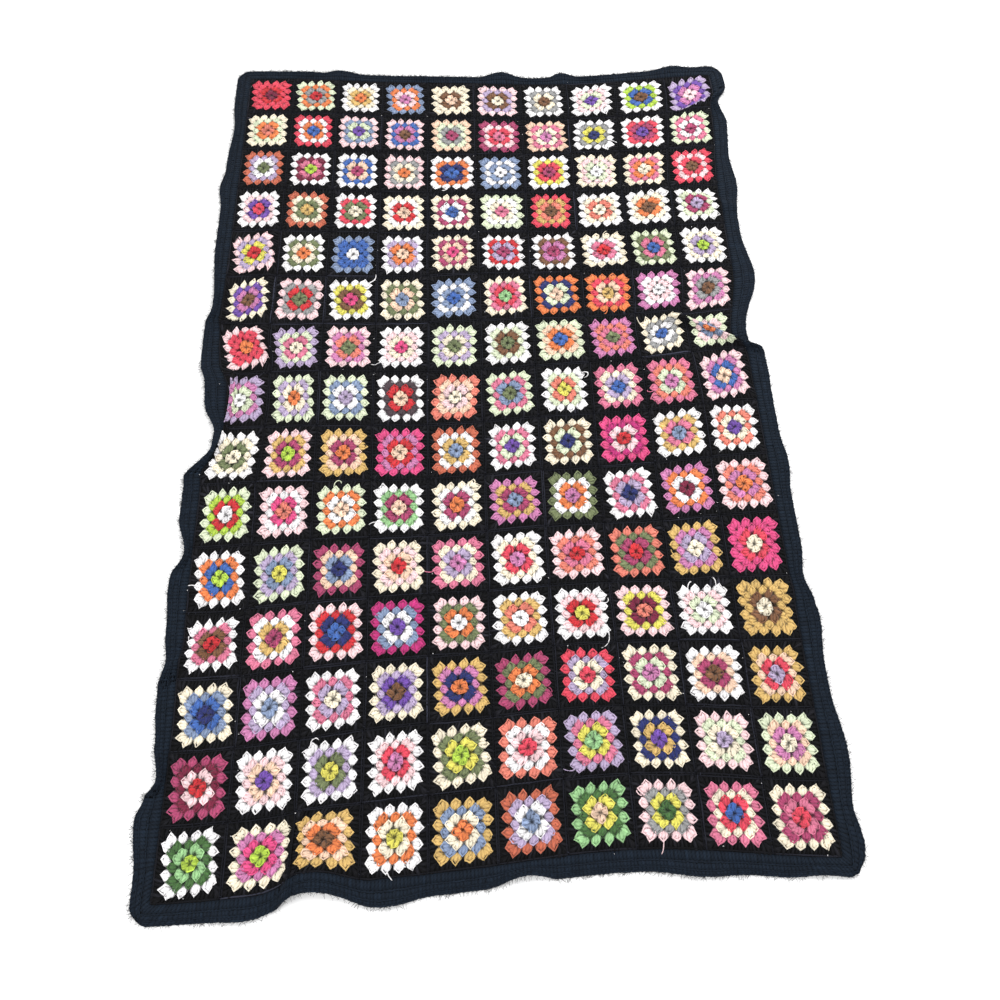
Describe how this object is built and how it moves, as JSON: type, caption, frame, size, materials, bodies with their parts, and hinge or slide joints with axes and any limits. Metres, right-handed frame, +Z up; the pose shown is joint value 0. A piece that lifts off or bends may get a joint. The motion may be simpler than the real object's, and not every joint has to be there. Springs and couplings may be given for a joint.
{
  "type": "granny square blanket",
  "caption": "Crocheted throw of joined granny squares in many bright yarns with black joining and a dark border, laid flat with rippled edges and small pleats.",
  "frame": {"origin": "under the middle of the whole blanket, on the surface it lies on", "axes": "+Y along the length, from the near short edge to the far one; +Z up out of the face with the colours; +X to the right"},
  "size_m": [1.2364, 1.928, 0.0219],
  "materials": {
    "square_yarns": "matt crochet in many yarn colours on black",
    "border_yarn": "matt crochet in blue-black yarn"
  },
  "bodies": {
    "root": {"joined_squares": "square_yarns", "crochet_border": "border_yarn"}
  },
  "joints": []
}
